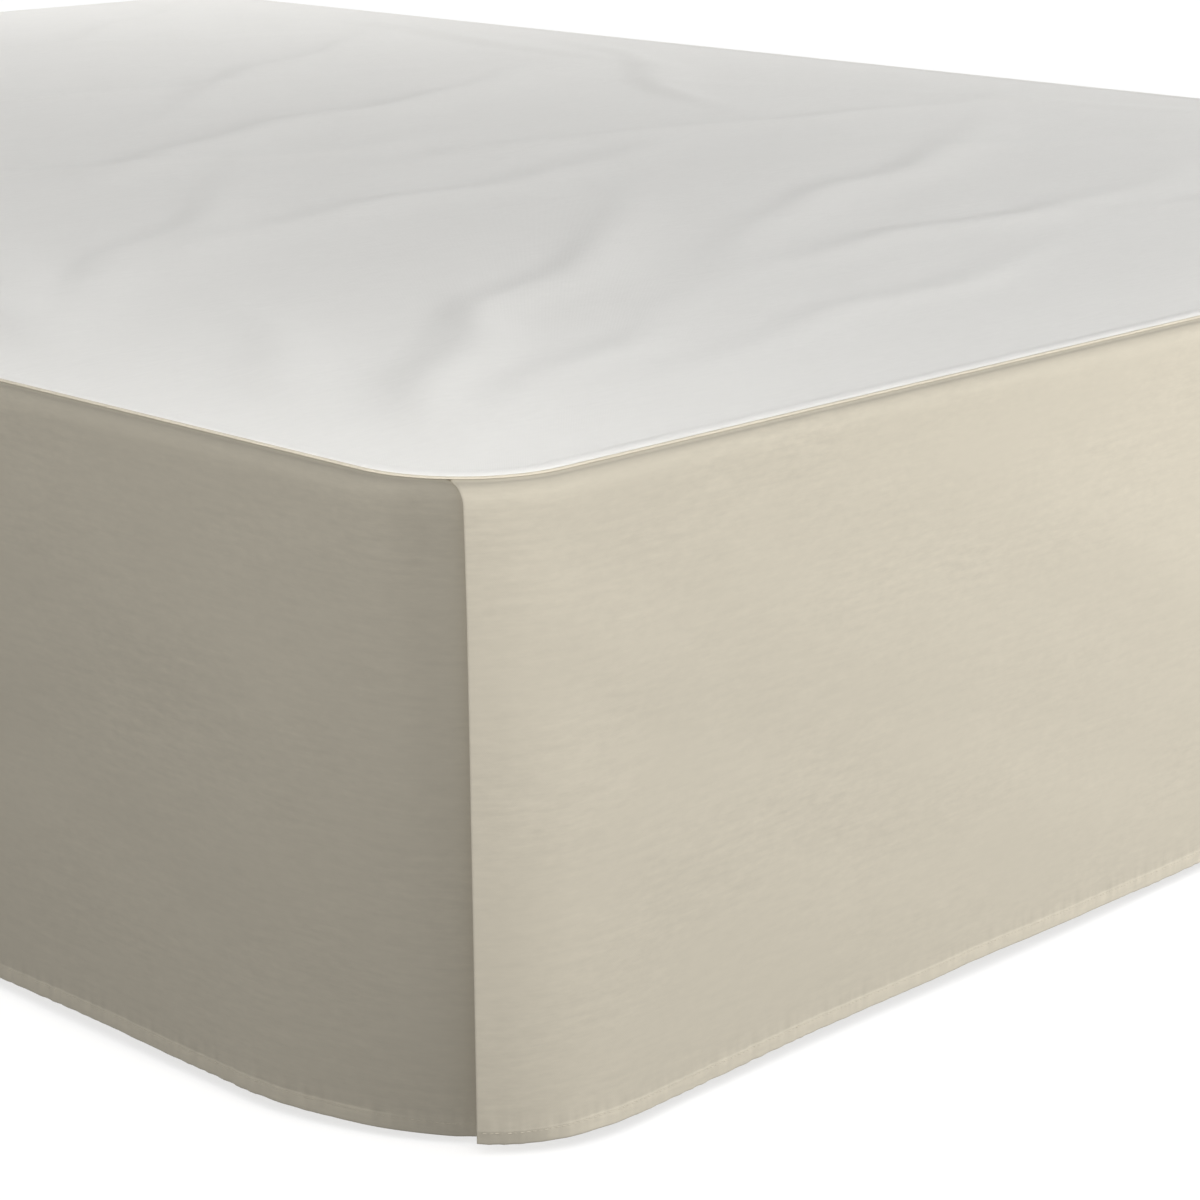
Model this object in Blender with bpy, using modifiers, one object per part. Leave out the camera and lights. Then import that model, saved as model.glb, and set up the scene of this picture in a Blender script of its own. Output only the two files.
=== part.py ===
"""Tailored bed skirt with split corners, over a plain box spring on a low steel bed frame.

The skirt is cut as four pieces: a flat deck that lies on the box spring, and three drops sewn
under the deck's edge, one down each side and one across the foot. Each drop leaves the seam over
a small rounded shoulder and falls free. The foot drop's two free ends lie over the side drops,
which run on behind them. The head end has no drop.

Metres, +Z up. The floor is z = 0, x runs across the bed, the foot faces -Y and the head +Y.
"""

import math

import bmesh
import bpy

# Queen bed, and the heights of what is stacked on the floor
BED_WIDTH = 1.524
BED_LENGTH = 2.032
FRAME_HEIGHT = 0.1265
BOX_HEIGHT = 0.2286
GAP = 0.0003
CLOTH = 0.0012
HEM_CLOTH = 0.0024

# Skirt: distances in from the bed's nominal sides, and heights
HEM_LIFT = 0.007
HEM_DEPTH = 0.009
HEM_STEP = 0.0008
DECK_INSET = 0.010
CORNER_RADIUS = 0.080
SEAM_TUCK = 0.0015
SHOULDER_DROP = 0.012
SHOULDER_STEPS = 5
DECK_CORNER_STEPS = 12
HEM_FLARE = 0.003
FALL_HEIGHTS = (0.310, 0.265, 0.215, 0.165, 0.115, 0.070, 0.040)

# Split corner
OVERLAP = 0.050
LAYER_SHIFT = 0.0033
LAYER_RAMP = 0.022
FREE_END_LEAN = 0.0048

# Box spring
BOX_INSET = 0.006
BOX_CORNER = 0.112
BOX_EDGE = 0.020
BOX_CORNER_STEPS = 10
BOX_EDGE_STEPS = 4

# Steel frame
RAIL_WIDTH = 0.040
RAIL_DEPTH = 0.030
RAIL_ROUNDING = 0.003
FRAME_INSET = 0.045
LEG_RADIUS = 0.016
LEG_SIDES = 24
GLIDE_RADIUS = 0.022
GLIDE_HEIGHT = 0.012
GLIDE_ROUNDING = 0.002
CORNER_LEG_Y = 0.80
CENTRE_LEG_Y = 0.36
SMOOTH_ANGLE = math.radians(35)

# Heights worked out from the stack
BOX_BASE = FRAME_HEIGHT + GAP
BOX_TOP = BOX_BASE + BOX_HEIGHT
DECK_BASE = BOX_TOP + GAP
SEAM_HEIGHT = DECK_BASE - GAP
SHOULDER_HEIGHT = SEAM_HEIGHT - SHOULDER_DROP
FALL = SHOULDER_HEIGHT - HEM_LIFT
SHOULDER_REACH = DECK_INSET + SEAM_TUCK

# Distances along a drop, from its middle: where the corner's arc begins, and where the drops part
FOOT_STRAIGHT = BED_WIDTH / 2 - CORNER_RADIUS
SIDE_STRAIGHT = BED_LENGTH / 2 - CORNER_RADIUS
FOOT_SHARE = math.radians(49.5)
HEAD_SHARE = math.radians(45)
SEAM_RADIUS = CORNER_RADIUS - SHOULDER_REACH
FOOT_END = FOOT_STRAIGHT + SEAM_RADIUS * FOOT_SHARE
SIDE_SPLIT = SIDE_STRAIGHT + SEAM_RADIUS * (math.pi / 2 - FOOT_SHARE)
HEAD_END = SIDE_STRAIGHT + SEAM_RADIUS * HEAD_SHARE

# How far the hem has turned in at the corner: (distance back from the free end, turn in degrees)
FOOT_HEM_TURNS = (
    (0.000, 42),
    (0.012, 41),
    (0.026, 31),
    (0.040, 23),
    (0.054, 14),
    (0.072, 7),
    (0.090, 1),
    (0.105, -3.5),
    (0.130, -2),
    (0.150, 0),
)
# The same for a side drop, its distances counted from where the foot drop's end covers it
SIDE_HEM_TURNS = (
    (-0.056, 66),
    (-0.006, 46),
    (0.010, 36),
    (0.024, 27),
    (0.039, 23),
    (0.064, 20),
    (0.084, 17),
    (0.099, 12),
    (0.119, 6),
    (0.139, 0),
)
# At the head the side drop ends on a plain arc
HEAD_HEM_TURNS = ((0.000, 38), (0.070, 0))

# Soft folds of the hanging cloth: (middle along the drop, half width, swing of the hem outwards)
FOOT_FOLDS = (
    (-0.470, 0.110, -0.0012),
    (-0.300, 0.130, 0.0014),
    (-0.110, 0.150, -0.0016),
    (0.080, 0.120, 0.0020),
    (0.260, 0.120, -0.0018),
    (0.450, 0.130, 0.0016),
)
LEFT_FOLDS = (
    (0.720, 0.110, 0.0010),
    (0.520, 0.140, -0.0016),
    (0.260, 0.160, 0.0022),
    (-0.020, 0.150, -0.0020),
    (-0.300, 0.170, 0.0024),
    (-0.620, 0.160, -0.0018),
)
RIGHT_FOLDS = (
    (0.660, 0.130, -0.0014),
    (0.400, 0.150, 0.0020),
    (0.120, 0.140, -0.0020),
    (-0.160, 0.160, 0.0022),
    (-0.460, 0.150, -0.0016),
    (-0.720, 0.120, 0.0014),
)
# Columns of a drop: fine where it turns at a corner and at its side hem, wide on the straight
CORNER_COLUMN = 0.0078
STRAIGHT_COLUMN = 0.075
CORNER_REACH = 0.155
SIDE_HEM = HEM_DEPTH
# A fold's swing grows with this power of the fall, so that it is nothing at the seam
FOLD_GROWTH = 1.5


def clear_scene():
    for thing in list(bpy.data.objects):
        bpy.data.objects.remove(thing, do_unlink=True)


def new_collection(name):
    collection = bpy.data.collections.new(name)
    bpy.context.scene.collection.children.link(collection)
    return collection


def new_material(name, colour, roughness, metallic=0.0):
    material = bpy.data.materials.new(name)
    material.use_nodes = True
    shader = material.node_tree.nodes["Principled BSDF"]
    shader.inputs["Base Color"].default_value = (*colour, 1.0)
    shader.inputs["Roughness"].default_value = roughness
    shader.inputs["Metallic"].default_value = metallic
    return material


def add_object(name, data, material, collection, location=(0.0, 0.0, 0.0)):
    thing = bpy.data.objects.new(name, data)
    thing.location = location
    data.materials.append(material)
    collection.objects.link(thing)
    return thing


def ease(share):
    """A smooth 0 to 1 step."""
    share = min(1.0, max(0.0, share))
    return share * share * (3.0 - 2.0 * share)


def between(rows, distance):
    """Value of a (distance, value) table at a distance, held level past its ends."""
    if distance <= rows[0][0]:
        return rows[0][1]
    for (low, first), (high, second) in zip(rows, rows[1:]):
        if distance <= high:
            return first + (second - first) * (distance - low) / (high - low)
    return rows[-1][1]


def swing(folds, along):
    """How far the hem swings out at a distance along the drop, all soft folds together."""
    total = 0.0
    for middle, half_width, depth in folds:
        total += depth * math.exp(-(((along - middle) / half_width) ** 2))
    return total


def end_columns(end, straight_end):
    """Distances from where the straight cloth stops to a drop's free end, the side hem last."""
    stops = [straight_end]
    count = round((end - SIDE_HEM - straight_end) / CORNER_COLUMN)
    for step in range(1, count + 1):
        stops.append(straight_end + (end - SIDE_HEM - straight_end) * step / count)
    stops.append(end - SIDE_HEM + HEM_STEP)
    stops.append(end)
    return stops


def straight_columns(low, high):
    count = round((high - low) / STRAIGHT_COLUMN)
    return [low + (high - low) * step / count for step in range(1, count)]


class Drop:
    """One hanging panel, drawn in plan as (along, outwards) from its middle.

    plane is the distance of its outer face from the bed's middle. first and last describe its two
    free ends, the last one at the positive end: where the cloth ends, where its corner arc
    starts, how its hem turns in and from where that is counted, how far the free end leans back
    at the hem, and where another drop starts to cover it.
    """

    def __init__(self, name, plane, first, last, folds):
        self.name = name
        self.plane = plane
        self.ends = {-1: first, 1: last}
        self.folds = folds

    def columns(self):
        first, last = self.ends[-1], self.ends[1]
        low = end_columns(first["end"], first["end"] - CORNER_REACH)
        high = end_columns(last["end"], last["end"] - CORNER_REACH)
        middle = straight_columns(-low[0], high[0])
        return [-stop for stop in reversed(low)] + middle + high

    def turn(self, along, radius, fall):
        """Turn of the plan line at a distance along, on a level that has fallen this share."""
        end = self.ends[1 if along >= 0 else -1]
        distance = abs(along)
        arc = max(0.0, distance - end["straight"]) / radius
        hem = math.radians(between(end["turns"], end["from"] - distance))
        return arc + (hem - arc) * fall

    def line(self, stops, reach, fall):
        """Plan points (along, outwards) and turns of one level, walked out from the middle."""
        radius = SEAM_RADIUS + reach
        points = {0.0: (0.0, 0.0, 0.0)}
        for way in (-1, 1):
            lean = 1.0 - self.ends[way]["lean"] * fall / self.ends[way]["end"]
            run, inwards, before = 0.0, 0.0, 0.0
            for stop in sorted(abs(s) for s in stops if s * way > 0):
                step = (stop - before) * lean
                middle = (stop + before) / 2
                turn = self.turn(way * middle, radius, fall)
                run += step * math.cos(turn)
                inwards += step * math.sin(turn)
                before = stop
                points[way * stop] = (way * run, -inwards, way * self.turn(way * stop, radius, fall))
        return points

    def under(self, along):
        """How far this drop is shifted in, where it runs behind another one: 0 to 1."""
        end = self.ends[1 if along >= 0 else -1]
        if end["split"] is None:
            return 0.0
        return ease((abs(along) - end["split"] + LAYER_RAMP) / LAYER_RAMP)

    def surface(self):
        """Rows of points from the seam down to the hem: (row, column) to (along, outwards, z)."""
        stops = self.columns()
        rows = []
        for step in range(SHOULDER_STEPS + 1):
            lift = math.pi / 2 * step / SHOULDER_STEPS
            reach = SHOULDER_REACH * math.sin(lift)
            height = SHOULDER_HEIGHT + SHOULDER_DROP * math.cos(lift)
            rows.append((reach, height, math.sin(lift), math.cos(lift), 0.0))
        heights = FALL_HEIGHTS + (HEM_LIFT + HEM_DEPTH + HEM_STEP, HEM_LIFT + HEM_DEPTH, HEM_LIFT)
        for height in heights:
            rows.append((SHOULDER_REACH, height, 1.0, 0.0, (SHOULDER_HEIGHT - height) / FALL))
        grid = []
        for reach, height, out, up, fall in rows:
            line = self.line(stops, reach, fall)
            row = []
            for stop in stops:
                run, outwards, turn = line[stop]
                away = swing(self.folds, stop) * fall**FOLD_GROWTH
                away -= LAYER_SHIFT * self.under(stop) * (1.0 - fall) * out
                across = self.plane - SHOULDER_REACH + reach + HEM_FLARE * fall + outwards
                lowered = LAYER_SHIFT * self.under(stop) * up
                point = (run + away * math.sin(turn), across + away * math.cos(turn))
                row.append((*point, height - lowered))
            grid.append(row)
        return stops, grid


def add_drop(drop, place, flipped, material, collection):
    """Hang a flat grid on the drop's surface, then give it its thickness, double at the hems."""
    stops, rows = drop.surface()
    across, down = len(stops) - 1, len(rows) - 1
    work = bmesh.new()
    bmesh.ops.create_grid(work, x_segments=across, y_segments=down, size=1.0)
    hems = []
    work.verts.ensure_lookup_table()
    for vertex in work.verts:
        column = round((vertex.co.x + 1.0) / 2.0 * across)
        row = down - round((vertex.co.y + 1.0) / 2.0 * down)
        vertex.co = place(*rows[row][column])
        side_hem = column < 2 or column > across - 2
        if side_hem or row >= down - 1:
            hems.append(vertex.index)
    if flipped:
        bmesh.ops.reverse_faces(work, faces=work.faces)
    mesh = bpy.data.meshes.new(drop.name)
    work.to_mesh(mesh)
    work.free()
    cloth = add_object(drop.name, mesh, material, collection)
    group = cloth.vertex_groups.new(name="hem")
    group.add(hems, 1.0, "REPLACE")
    shell = cloth.modifiers.new("cloth", "SOLIDIFY")
    shell.thickness = HEM_CLOTH
    shell.offset = -1.0
    shell.vertex_group = group.name
    shell.thickness_vertex_group = CLOTH / HEM_CLOTH
    return cloth


def rounded_outline(half_width, half_length, radius, steps):
    """Corner points of a rounded rectangle, anticlockwise."""
    points = []
    for quarter, (x_side, y_side) in enumerate(((1, 1), (-1, 1), (-1, -1), (1, -1))):
        for step in range(steps + 1):
            angle = math.pi / 2 * (quarter + step / steps)
            x = x_side * (half_width - radius) + radius * math.cos(angle)
            y = y_side * (half_length - radius) + radius * math.sin(angle)
            points.append((x, y))
    return points


def add_deck(material, collection):
    outline = bpy.data.curves.new("deck", "CURVE")
    outline.dimensions = "2D"
    outline.fill_mode = "BOTH"
    outline.extrude = CLOTH / 2
    half_width = BED_WIDTH / 2 - DECK_INSET
    half_length = BED_LENGTH / 2 - DECK_INSET
    points = rounded_outline(half_width, half_length, CORNER_RADIUS - DECK_INSET, DECK_CORNER_STEPS)
    spline = outline.splines.new("POLY")
    spline.points.add(len(points) - 1)
    spline.use_cyclic_u = True
    for point, (x, y) in zip(spline.points, points):
        point.co = (x, y, 0.0, 1.0)
    return add_object("deck", outline, material, collection, (0.0, 0.0, DECK_BASE + CLOTH / 2))


def add_box_spring(material, collection):
    """A block with large upright corners and softly rounded top and bottom edges."""
    work = bmesh.new()
    bmesh.ops.create_cube(work, size=1.0)
    width = BED_WIDTH - 2 * BOX_INSET
    length = BED_LENGTH - BOX_INSET
    bmesh.ops.scale(work, verts=work.verts, vec=(width, length, BOX_HEIGHT))
    uprights = [e for e in work.edges if abs(e.verts[0].co.z - e.verts[1].co.z) > BOX_HEIGHT / 2]
    bmesh.ops.bevel(
        work, geom=uprights, offset=BOX_CORNER, segments=BOX_CORNER_STEPS, profile=0.5, affect="EDGES"
    )
    rims = [e for e in work.edges if abs(e.verts[0].co.z - e.verts[1].co.z) < GAP]
    bmesh.ops.bevel(
        work, geom=rims, offset=BOX_EDGE, segments=BOX_EDGE_STEPS, profile=0.5, affect="EDGES"
    )
    mesh = bpy.data.meshes.new("box_spring")
    work.to_mesh(mesh)
    work.free()
    mesh.shade_smooth()
    mesh.set_sharp_from_angle(angle=SMOOTH_ANGLE)
    location = (0.0, BOX_INSET / 2, BOX_BASE + BOX_HEIGHT / 2)
    return add_object("box_spring", mesh, material, collection, location)


def add_rail(name, size, location, material, collection):
    work = bmesh.new()
    bmesh.ops.create_cube(work, size=1.0)
    bmesh.ops.scale(work, verts=work.verts, vec=size)
    mesh = bpy.data.meshes.new(name)
    work.to_mesh(mesh)
    work.free()
    rail = add_object(name, mesh, material, collection, location)
    rounding = rail.modifiers.new("rounding", "BEVEL")
    rounding.width = RAIL_ROUNDING
    rounding.segments = 2
    return rail


def add_round(name, size, location, material, collection):
    """An upright cylinder standing on its location; size is its radius, height and rounding."""
    radius, height, rounding = size
    work = bmesh.new()
    bmesh.ops.create_cone(
        work, cap_ends=True, segments=LEG_SIDES, radius1=radius, radius2=radius, depth=height
    )
    bmesh.ops.translate(work, verts=work.verts, vec=(0.0, 0.0, height / 2))
    if rounding:
        rims = [e for e in work.edges if abs(e.verts[0].co.z - e.verts[1].co.z) < GAP]
        bmesh.ops.bevel(work, geom=rims, offset=rounding, segments=2, profile=0.5, affect="EDGES")
    mesh = bpy.data.meshes.new(name)
    work.to_mesh(mesh)
    work.free()
    mesh.shade_smooth()
    mesh.set_sharp_from_angle(angle=SMOOTH_ANGLE)
    return add_object(name, mesh, material, collection, location)


def add_frame(steel, plastic, collection):
    """Five rails in one level, and a leg with a glide under each corner and the middle rail."""
    middle = FRAME_HEIGHT - RAIL_DEPTH / 2
    side_x = BED_WIDTH / 2 - FRAME_INSET - RAIL_WIDTH / 2
    end_y = BED_LENGTH / 2 - FRAME_INSET - RAIL_WIDTH / 2
    side_length = BED_LENGTH - 2 * FRAME_INSET
    for name, side in (("side_rail_left", -1), ("side_rail_right", 1)):
        size = (RAIL_WIDTH, side_length, RAIL_DEPTH)
        add_rail(name, size, (side * side_x, 0.0, middle), steel, collection)
    end_length = 2 * side_x - RAIL_WIDTH - 2 * GAP
    for name, side in (("end_rail_foot", -1), ("end_rail_head", 1)):
        size = (end_length, RAIL_WIDTH, RAIL_DEPTH)
        add_rail(name, size, (0.0, side * end_y, middle), steel, collection)
    centre_length = 2 * end_y - RAIL_WIDTH - 2 * GAP
    add_rail("centre_rail", (RAIL_WIDTH, centre_length, RAIL_DEPTH), (0.0, 0.0, middle), steel, collection)

    glide_size = (GLIDE_RADIUS, GLIDE_HEIGHT, GLIDE_ROUNDING)
    leg_size = (LEG_RADIUS, FRAME_HEIGHT - RAIL_DEPTH - 2 * GAP - GLIDE_HEIGHT, 0.0)
    places = (
        ("foot_left", -side_x, -CORNER_LEG_Y),
        ("foot_right", side_x, -CORNER_LEG_Y),
        ("head_left", -side_x, CORNER_LEG_Y),
        ("head_right", side_x, CORNER_LEG_Y),
        ("centre_foot", 0.0, -CENTRE_LEG_Y),
        ("centre_head", 0.0, CENTRE_LEG_Y),
    )
    for name, x, y in places:
        add_round("glide_" + name, glide_size, (x, y, 0.0), plastic, collection)
        add_round("leg_" + name, leg_size, (x, y, GLIDE_HEIGHT + GAP), steel, collection)


def add_skirt(cloth, deck_cloth, collection):
    add_deck(deck_cloth, collection)
    foot_end = {
        "end": FOOT_END,
        "straight": FOOT_STRAIGHT,
        "turns": FOOT_HEM_TURNS,
        "from": FOOT_END,
        "lean": FREE_END_LEAN,
        "split": None,
    }
    side_foot_end = {
        "end": SIDE_SPLIT + OVERLAP,
        "straight": SIDE_STRAIGHT,
        "turns": SIDE_HEM_TURNS,
        "from": SIDE_SPLIT,
        "lean": 0.0,
        "split": SIDE_SPLIT,
    }
    side_head_end = {
        "end": HEAD_END,
        "straight": SIDE_STRAIGHT,
        "turns": HEAD_HEM_TURNS,
        "from": HEAD_END,
        "lean": 0.0,
        "split": None,
    }
    foot = Drop("foot_drop", BED_LENGTH / 2, foot_end, foot_end, FOOT_FOLDS)
    add_drop(foot, lambda u, v, z: (u, -v, z), False, cloth, collection)
    left = Drop("side_drop_left", BED_WIDTH / 2, side_head_end, side_foot_end, LEFT_FOLDS)
    add_drop(left, lambda u, v, z: (-v, -u, z), False, cloth, collection)
    right = Drop("side_drop_right", BED_WIDTH / 2, side_head_end, side_foot_end, RIGHT_FOLDS)
    add_drop(right, lambda u, v, z: (v, -u, z), True, cloth, collection)


def build():
    clear_scene()
    parts = new_collection("bed_skirt")
    cloth = new_material("skirt_cloth", (0.60, 0.55, 0.45), 0.85)
    deck_cloth = new_material("deck_cloth", (0.80, 0.79, 0.74), 0.9)
    ticking = new_material("base_ticking", (0.74, 0.73, 0.70), 0.9)
    steel = new_material("frame_steel", (0.035, 0.033, 0.032), 0.5, 0.4)
    plastic = new_material("glide_plastic", (0.02, 0.02, 0.02), 0.6)
    add_skirt(cloth, deck_cloth, parts)
    add_box_spring(ticking, parts)
    add_frame(steel, plastic, parts)


build()
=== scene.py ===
"""Looks for the tailored bed skirt: the cloth as hung, its sewing, its base and a pale studio.

The skirt's four pieces are thin sheets on the shape of their solids, with the hem's turned band,
its stitches' pucker and soft ripples added. The box spring gets a sewn cover, and the steel frame
keeps its solids and gets a powder coat.

Metres, +Z up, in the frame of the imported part: the foot faces -Y and the head +Y. The tables of
folds, sags, ripples, hem turns, free edges, wrinkles, waves and the cover are in millimetres.
"""

from math import copysign, cos, exp, inf, pi, radians, sin, sqrt, tanh

import bmesh
import bpy
from mathutils import Matrix, Vector


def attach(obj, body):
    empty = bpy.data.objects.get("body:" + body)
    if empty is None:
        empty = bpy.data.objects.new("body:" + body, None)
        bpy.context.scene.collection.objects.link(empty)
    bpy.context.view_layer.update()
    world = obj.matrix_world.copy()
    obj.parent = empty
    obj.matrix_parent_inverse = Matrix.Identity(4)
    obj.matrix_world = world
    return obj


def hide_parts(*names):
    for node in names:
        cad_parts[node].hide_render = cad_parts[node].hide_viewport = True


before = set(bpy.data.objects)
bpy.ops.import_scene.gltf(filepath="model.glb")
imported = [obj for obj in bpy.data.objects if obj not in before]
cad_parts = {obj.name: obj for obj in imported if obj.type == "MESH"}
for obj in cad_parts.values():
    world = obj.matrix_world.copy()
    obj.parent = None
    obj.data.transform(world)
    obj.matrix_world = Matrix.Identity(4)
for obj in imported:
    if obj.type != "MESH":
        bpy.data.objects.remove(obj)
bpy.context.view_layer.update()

MM = 0.001

# Queen bed, and the heights of what is stacked on the floor
BED_WIDTH = 1.524
BED_LENGTH = 2.032
FRAME_HEIGHT = 0.1265
BOX_HEIGHT = 0.2286
GAP = 0.0003
CLOTH = 0.0012
HEM_CLOTH = 0.0024

# Skirt: distances in from the bed's nominal sides, and heights
HEM_LIFT = 0.007
HEM_DEPTH = 0.009
DECK_INSET = 0.010
CORNER_RADIUS = 0.080
SEAM_TUCK = 0.0015
SHOULDER_DROP = 0.012
HEM_FLARE = 0.003

# Split corner
OVERLAP = 0.050
LAYER_SHIFT = 0.0033
LAYER_RAMP = 0.022
FREE_END_LEAN = 0.0048

# Box spring
BOX_INSET = 0.006
BOX_CORNER = 0.112

# Heights worked out from the stack
BOX_BASE = FRAME_HEIGHT + GAP
BOX_TOP = BOX_BASE + BOX_HEIGHT
DECK_BASE = BOX_TOP + GAP
SEAM_HEIGHT = DECK_BASE - GAP
SHOULDER_HEIGHT = SEAM_HEIGHT - SHOULDER_DROP
FALL = SHOULDER_HEIGHT - HEM_LIFT
SHOULDER_REACH = DECK_INSET + SEAM_TUCK

# Distances along a drop, from its middle: where the corner's arc begins, and where the drops part
FOOT_STRAIGHT = BED_WIDTH / 2 - CORNER_RADIUS
SIDE_STRAIGHT = BED_LENGTH / 2 - CORNER_RADIUS
FOOT_SHARE = radians(49.5)
HEAD_SHARE = radians(45)
SEAM_RADIUS = CORNER_RADIUS - SHOULDER_REACH
FOOT_END = FOOT_STRAIGHT + SEAM_RADIUS * FOOT_SHARE
SIDE_SPLIT = SIDE_STRAIGHT + SEAM_RADIUS * (pi / 2 - FOOT_SHARE)
SIDE_END = SIDE_SPLIT + OVERLAP
HEAD_END = SIDE_STRAIGHT + SEAM_RADIUS * HEAD_SHARE

# How far the hem has turned in at the corner: (distance back from the free end, turn in degrees)
FOOT_HEM_TURNS = (
    (0, 42), (12, 41), (26, 31), (40, 23), (54, 14), (72, 7), (90, 1), (105, -3.5), (130, -2), (150, 0),
)
SIDE_HEM_TURNS = (
    (-56, 66), (-6, 46), (10, 36), (24, 27), (39, 23), (64, 20), (84, 17), (99, 12), (119, 6), (139, 0),
)
HEAD_HEM_TURNS = ((0, 38), (70, 0))

# Soft folds of the hanging cloth: (middle along the drop, half width, swing of the hem outwards)
FOOT_FOLDS = (
    (-470, 110, -1.2), (-300, 130, 1.4), (-110, 150, -1.6), (80, 120, 2), (260, 120, -1.8),
    (450, 130, 1.6),
)
LEFT_FOLDS = (
    (720, 110, 1), (520, 140, -1.6), (260, 160, 2.2), (-20, 150, -2), (-300, 170, 2.4), (-620, 160, -1.8),
)
RIGHT_FOLDS = (
    (660, 130, -1.4), (400, 150, 2), (120, 140, -2), (-160, 160, 2.2), (-460, 150, -1.6),
    (-720, 120, 1.4),
)
# A fold's swing grows with this power of the fall, so that it is nothing at the seam
FOLD_GROWTH = 1.5

# Where the hem hangs a little lower or higher: (middle along the drop, half width, lowering)
FOOT_SAGS = (
    (-724, 32, 1.9), (-600, 60, 1.3), (-345, 45, -1.1), (-150, 65, 1.5), (100, 80, -0.8), (330, 70, 1.2),
    (540, 70, -0.9), (720, 45, 1.1),
)
LEFT_SAGS = (
    (990, 88, 2.9), (720, 60, -1.5), (450, 90, 1), (100, 110, -0.9), (-250, 100, 1.2), (-640, 90, -0.8),
)
RIGHT_SAGS = (
    (980, 70, 2.2), (700, 80, -1), (380, 100, 1.1), (20, 90, -1.1), (-360, 110, 1), (-700, 80, -0.9),
)
# and by how much the hem is a little uneven everywhere
SMALL_SAG = 0.00015

# Slanting ripples that the cloth keeps from its packing and its pull at the seam:
# (middle along the drop, middle height, half length, half width, slant in degrees, depth)
FOOT_RIPPLES = (
    (-640, 300, 110, 22, -34, -1), (-645, 245, 80, 20, -36, 1.1), (-560, 190, 150, 26, -26, -1.3),
    (-470, 225, 160, 32, -20, 1.7), (-610, 145, 90, 24, -22, 1.2), (-490, 110, 130, 26, -18, -1.4),
    (-330, 160, 180, 34, -24, -1.6), (-300, 265, 200, 36, -18, 1.4), (-160, 195, 170, 36, -28, 1.8),
    (-210, 85, 160, 30, -20, -1.4), (20, 240, 190, 40, -20, -1.6), (60, 120, 180, 34, -26, 1.5),
    (240, 200, 170, 36, 22, 1.7), (330, 110, 150, 32, 28, -1.4), (420, 260, 140, 30, 20, -1.2),
    (520, 180, 140, 28, 32, 1.4), (640, 240, 90, 22, 34, -0.9),
)
LEFT_RIPPLES = (
    (905, 318, 60, 10, 26, 0.9), (930, 215, 60, 24, 60, -0.7), (865, 150, 75, 30, 62, 1.4),
    (800, 240, 120, 34, -16, 1.5), (770, 110, 120, 32, -22, -1.3), (660, 160, 130, 34, 20, -1.6),
    (600, 265, 150, 34, 16, 1.4), (470, 130, 170, 36, 24, 1.7), (330, 225, 180, 38, 18, -1.6),
    (170, 140, 170, 36, 26, 1.6), (0, 230, 190, 40, -18, 1.6), (-160, 130, 170, 34, -24, -1.5),
    (-330, 215, 190, 40, -20, 1.7), (-520, 130, 170, 36, 22, 1.4), (-660, 230, 150, 34, 26, -1.5),
    (-820, 160, 110, 30, 30, 1.2),
)
RIGHT_RIPPLES = (
    (840, 170, 100, 30, -58, 1.2), (700, 225, 150, 34, -24, -1.4), (560, 125, 150, 34, -20, 1.5),
    (420, 235, 180, 38, 18, 1.5), (250, 150, 180, 38, 24, -1.6), (80, 240, 190, 40, 20, 1.6),
    (-110, 140, 180, 36, -22, 1.6), (-280, 230, 180, 38, -26, -1.6), (-460, 140, 170, 36, -18, 1.5),
    (-630, 235, 160, 34, 22, 1.4), (-810, 150, 110, 30, 28, -1.3),
)
# Ripples come in over a first share of the fall, and lessen from a lower one on to a share at the hem
RIPPLE_START = 0.12
RIPPLE_LOW = 0.60
RIPPLE_AT_HEM = 0.30
# and they die out over this length at a free end, where two drops lie on each other
RIPPLE_CLEAR = 0.030

# Hem: heights above the cloth's bottom edge, and how far its turned band stands out
STITCH_RISE = 0.0076
BAND_STAND = 0.00032
BAND_STEP = 0.0011
GROOVE_DEPTH = 0.00012
GROOVE_WIDTH = 0.0008
BAND_AT_SPLIT = 0.3
PUCKER_DEPTH = 0.00040
PUCKER_FADE = 0.012
GATHER_WIDTH = 0.007
RELIEF_FADE = 0.05
# The hem's edge stands out on the sides, rolling back by a share of that, and is tucked in at the split
HEM_KICK = 0.0011
HEM_ROLL = 0.7
HEM_TUCK = 0.0022
# The band shows fully from this far from the split, over a length
OPEN_START = 0.015
OPEN_REACH = 0.055
# Uneven waves along a hem: (rate, and the size and rate of each bend in it)
PUCKER_WAVE = (490.0, ((2.3, 61.0), (1.1, 147.0)))
PUCKER_PATCHES = (23.0, ((2.0, 8.3),))
SAG_WAVE = (173.0, ((1.7, 57.0),))

# A drop's rows: heights above its bottom edge, in metres, then even steps and turns over the shoulder
HEM_ROWS = (
    0.0, 0.00012, 0.0004, 0.0008, 0.0013, 0.0022, 0.0034, 0.0048, 0.0060, 0.0069,
    0.0076, 0.0081, 0.0085, 0.0089, 0.0093, 0.0097, 0.0104, 0.0116, 0.0135, 0.0165,
    0.0210, 0.0270,
)
FALL_STEP = 0.0070
SHOULDER_LIFTS = (0, 4, 7.5, 11, 15, 20, 27, 36, 46, 57, 68, 79, 90)
# Its columns: steps, how far the corner's reach in, and the last ones, back from the free edge
STRAIGHT_COLUMN = 0.0034
CORNER_COLUMN = 0.0026
CORNER_REACH = 0.155
SIDE_HEM = HEM_DEPTH
EDGE_COLUMNS = (0.0013, 0.0008, 0.0004, 0.00012, 0.0)
# The least share of its thickness that a cloth keeps at its rounded edges
THINNEST = 0.12

# Seam: just outside the deck's edge the drop dips a little before its rounded shoulder
DIP_DEPTH = 0.0004
DIP_REACH = 0.0034
DIP_WIDTH = 0.0013
SHOULDER_POWER = 0.82
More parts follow.
